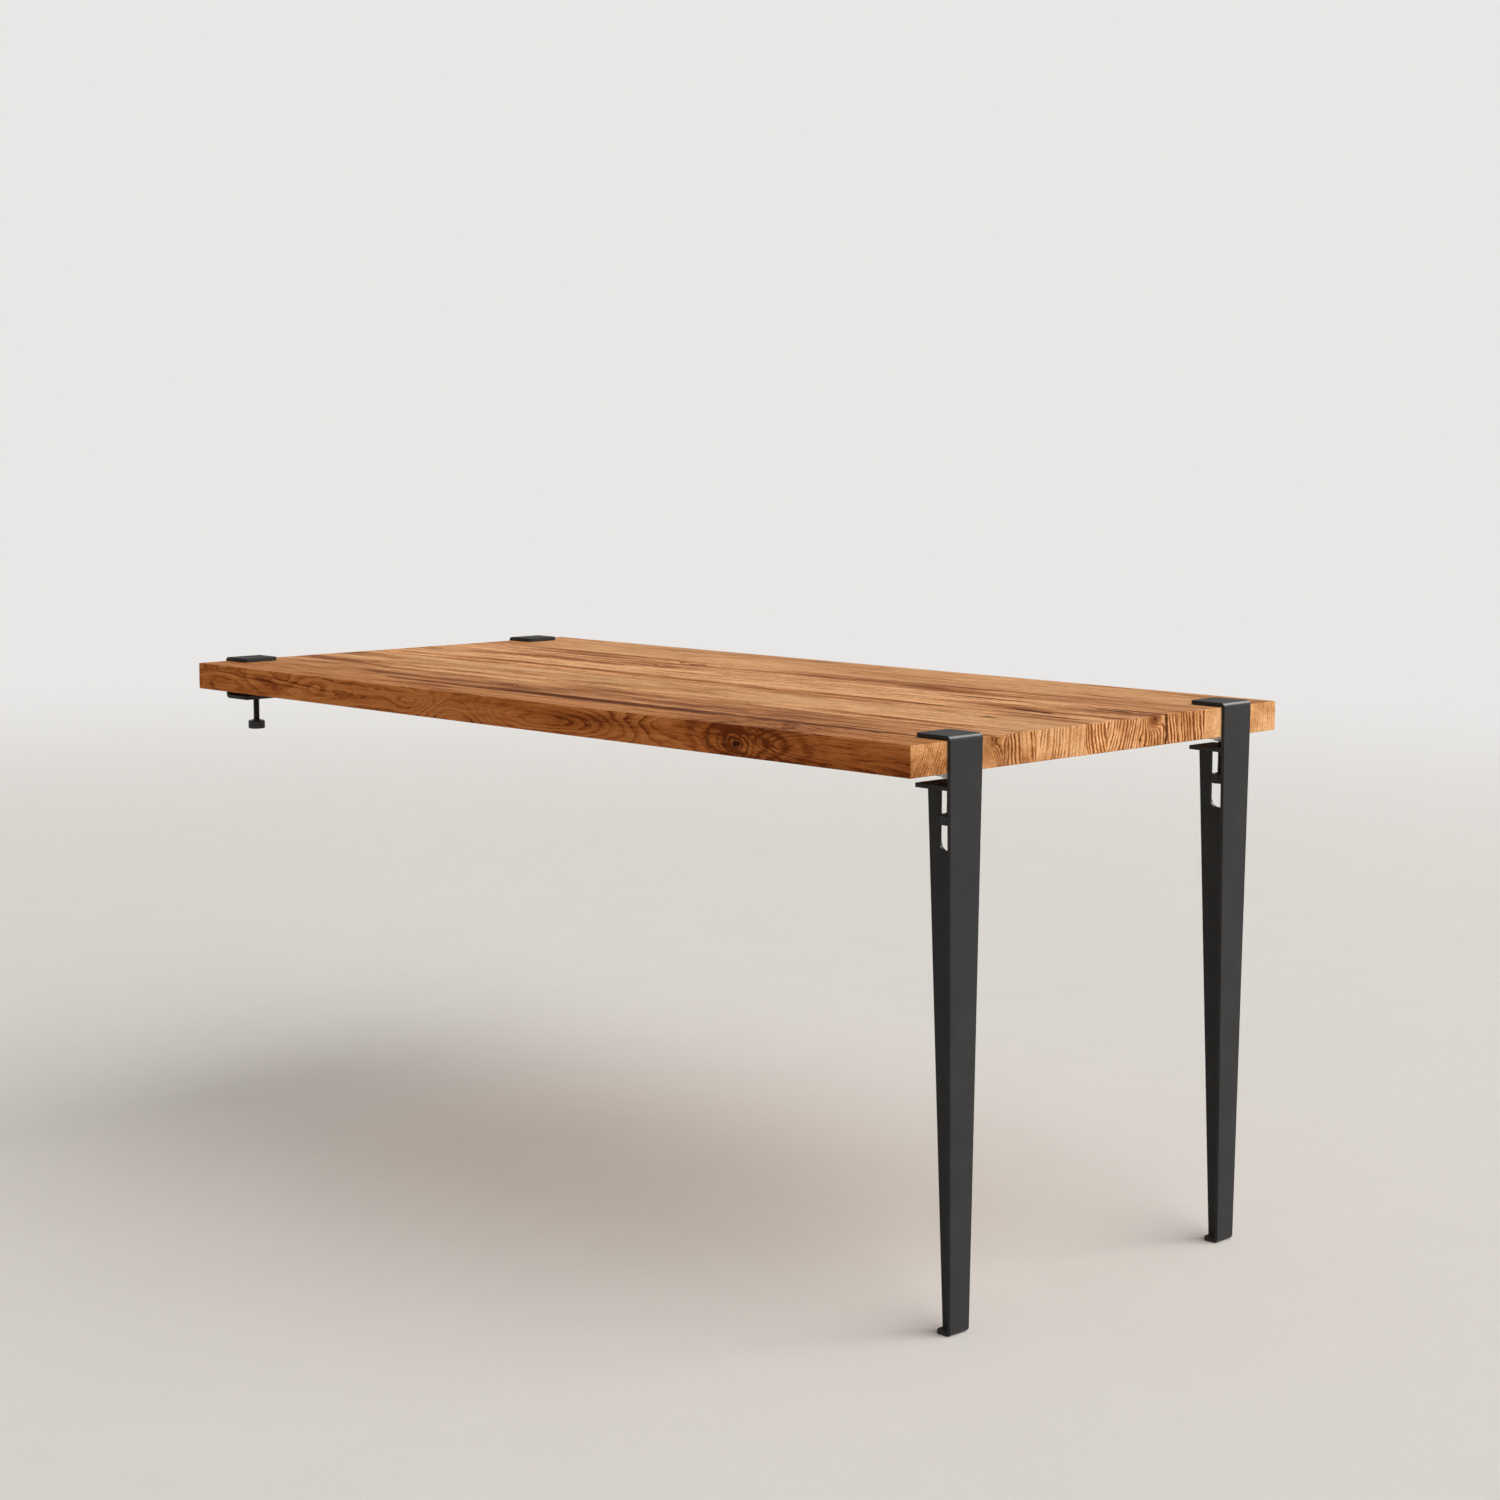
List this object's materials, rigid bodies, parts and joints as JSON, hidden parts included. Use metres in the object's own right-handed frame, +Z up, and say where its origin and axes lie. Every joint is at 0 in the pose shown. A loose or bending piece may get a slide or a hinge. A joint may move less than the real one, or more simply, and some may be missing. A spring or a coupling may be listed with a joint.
{
  "type": "wall-mounted dining table",
  "caption": "Rectangular oak table clamped at one end by steel wall brackets and carried at the other by tapered folded-steel clamp legs, each tightened by a hand screw.",
  "frame": {"origin": "on the wall plane, midway between the two brackets, at half the tabletop's thickness", "axes": "+X away from the wall along the top, +Y along the wall, +Z up"},
  "size_m": [1.51, 0.75, 0.75],
  "materials": {
    "oak": "oiled, open pores",
    "black_powder_coat": "matt black powder coat with a fine texture",
    "black_screw_steel": "black oxide, satin",
    "frosted_plastic": "pale frosted plastic",
    "liner": "matt black sheet"
  },
  "bodies": {
    "table": {"tabletop_stave_1": "oak", "tabletop_stave_2": "oak", "tabletop_stave_3": "oak", "tabletop_stave_4": "oak", "tabletop_stave_5": "oak", "tabletop_stave_6": "oak", "tabletop_stave_7": "oak", "tabletop_stave_8": "oak", "left_leg_blade": "black_powder_coat", "left_leg_rib": "black_powder_coat", "left_leg_lower_jaw": "black_powder_coat", "left_bracket_plate": "black_powder_coat", "left_leg_jaw_liner": "liner", "left_bracket_jaw_liner": "liner", "right_leg_blade": "black_powder_coat", "right_leg_rib": "black_powder_coat", "right_leg_lower_jaw": "black_powder_coat", "right_bracket_plate": "black_powder_coat", "right_leg_jaw_liner": "liner", "right_bracket_jaw_liner": "liner"},
    "left_leg_pad": {"left_leg_pressure_pad": "frosted_plastic"},
    "left_leg_hand_screw": {"left_leg_spindle": "black_screw_steel", "left_leg_knob": "black_screw_steel"},
    "left_bracket_pad": {"left_bracket_pressure_pad": "frosted_plastic"},
    "left_bracket_hand_screw": {"left_bracket_spindle": "black_screw_steel", "left_bracket_knob": "black_screw_steel"},
    "right_leg_pad": {"right_leg_pressure_pad": "frosted_plastic"},
    "right_leg_hand_screw": {"right_leg_spindle": "black_screw_steel", "right_leg_knob": "black_screw_steel"},
    "right_bracket_pad": {"right_bracket_pressure_pad": "frosted_plastic"},
    "right_bracket_hand_screw": {"right_bracket_spindle": "black_screw_steel", "right_bracket_knob": "black_screw_steel"}
  },
  "joints": [
    {"name": "left_leg_pad_slide", "type": "slide", "parent": "table", "child": "left_leg_pad", "axis": [0, 0, 1], "range_m": [-0.00675, 0]},
    {"name": "left_leg_screw_turn", "type": "hinge", "parent": "left_leg_pad", "child": "left_leg_hand_screw", "pos_m": [1.485, -0.279, -0.02], "axis": [0, 0, 1], "range_deg": [-1620.5, 0]},
    {"name": "left_bracket_pad_slide", "type": "slide", "parent": "table", "child": "left_bracket_pad", "axis": [0, 0, 1], "range_m": [-0.0045, 0]},
    {"name": "left_bracket_screw_turn", "type": "hinge", "parent": "left_bracket_pad", "child": "left_bracket_hand_screw", "pos_m": [0.0375, -0.291, -0.02], "axis": [0, 0, 1], "range_deg": [-1080.5, 0]},
    {"name": "right_leg_pad_slide", "type": "slide", "parent": "table", "child": "right_leg_pad", "axis": [0, 0, 1], "range_m": [-0.00675, 0]},
    {"name": "right_leg_screw_turn", "type": "hinge", "parent": "right_leg_pad", "child": "right_leg_hand_screw", "pos_m": [1.485, 0.279, -0.02], "axis": [0, 0, 1], "range_deg": [-1620.5, 0]},
    {"name": "right_bracket_pad_slide", "type": "slide", "parent": "table", "child": "right_bracket_pad", "axis": [0, 0, 1], "range_m": [-0.0045, 0]},
    {"name": "right_bracket_screw_turn", "type": "hinge", "parent": "right_bracket_pad", "child": "right_bracket_hand_screw", "pos_m": [0.0375, 0.291, -0.02], "axis": [0, 0, 1], "range_deg": [-1080.5, 0]}
  ],
  "couplings": [
    {"joint": "left_leg_screw_turn", "follows": "left_leg_pad_slide", "rad_per_m": 4188.8},
    {"joint": "left_bracket_screw_turn", "follows": "left_bracket_pad_slide", "rad_per_m": 4188.8},
    {"joint": "right_leg_screw_turn", "follows": "right_leg_pad_slide", "rad_per_m": 4188.8},
    {"joint": "right_bracket_screw_turn", "follows": "right_bracket_pad_slide", "rad_per_m": 4188.8}
  ]
}
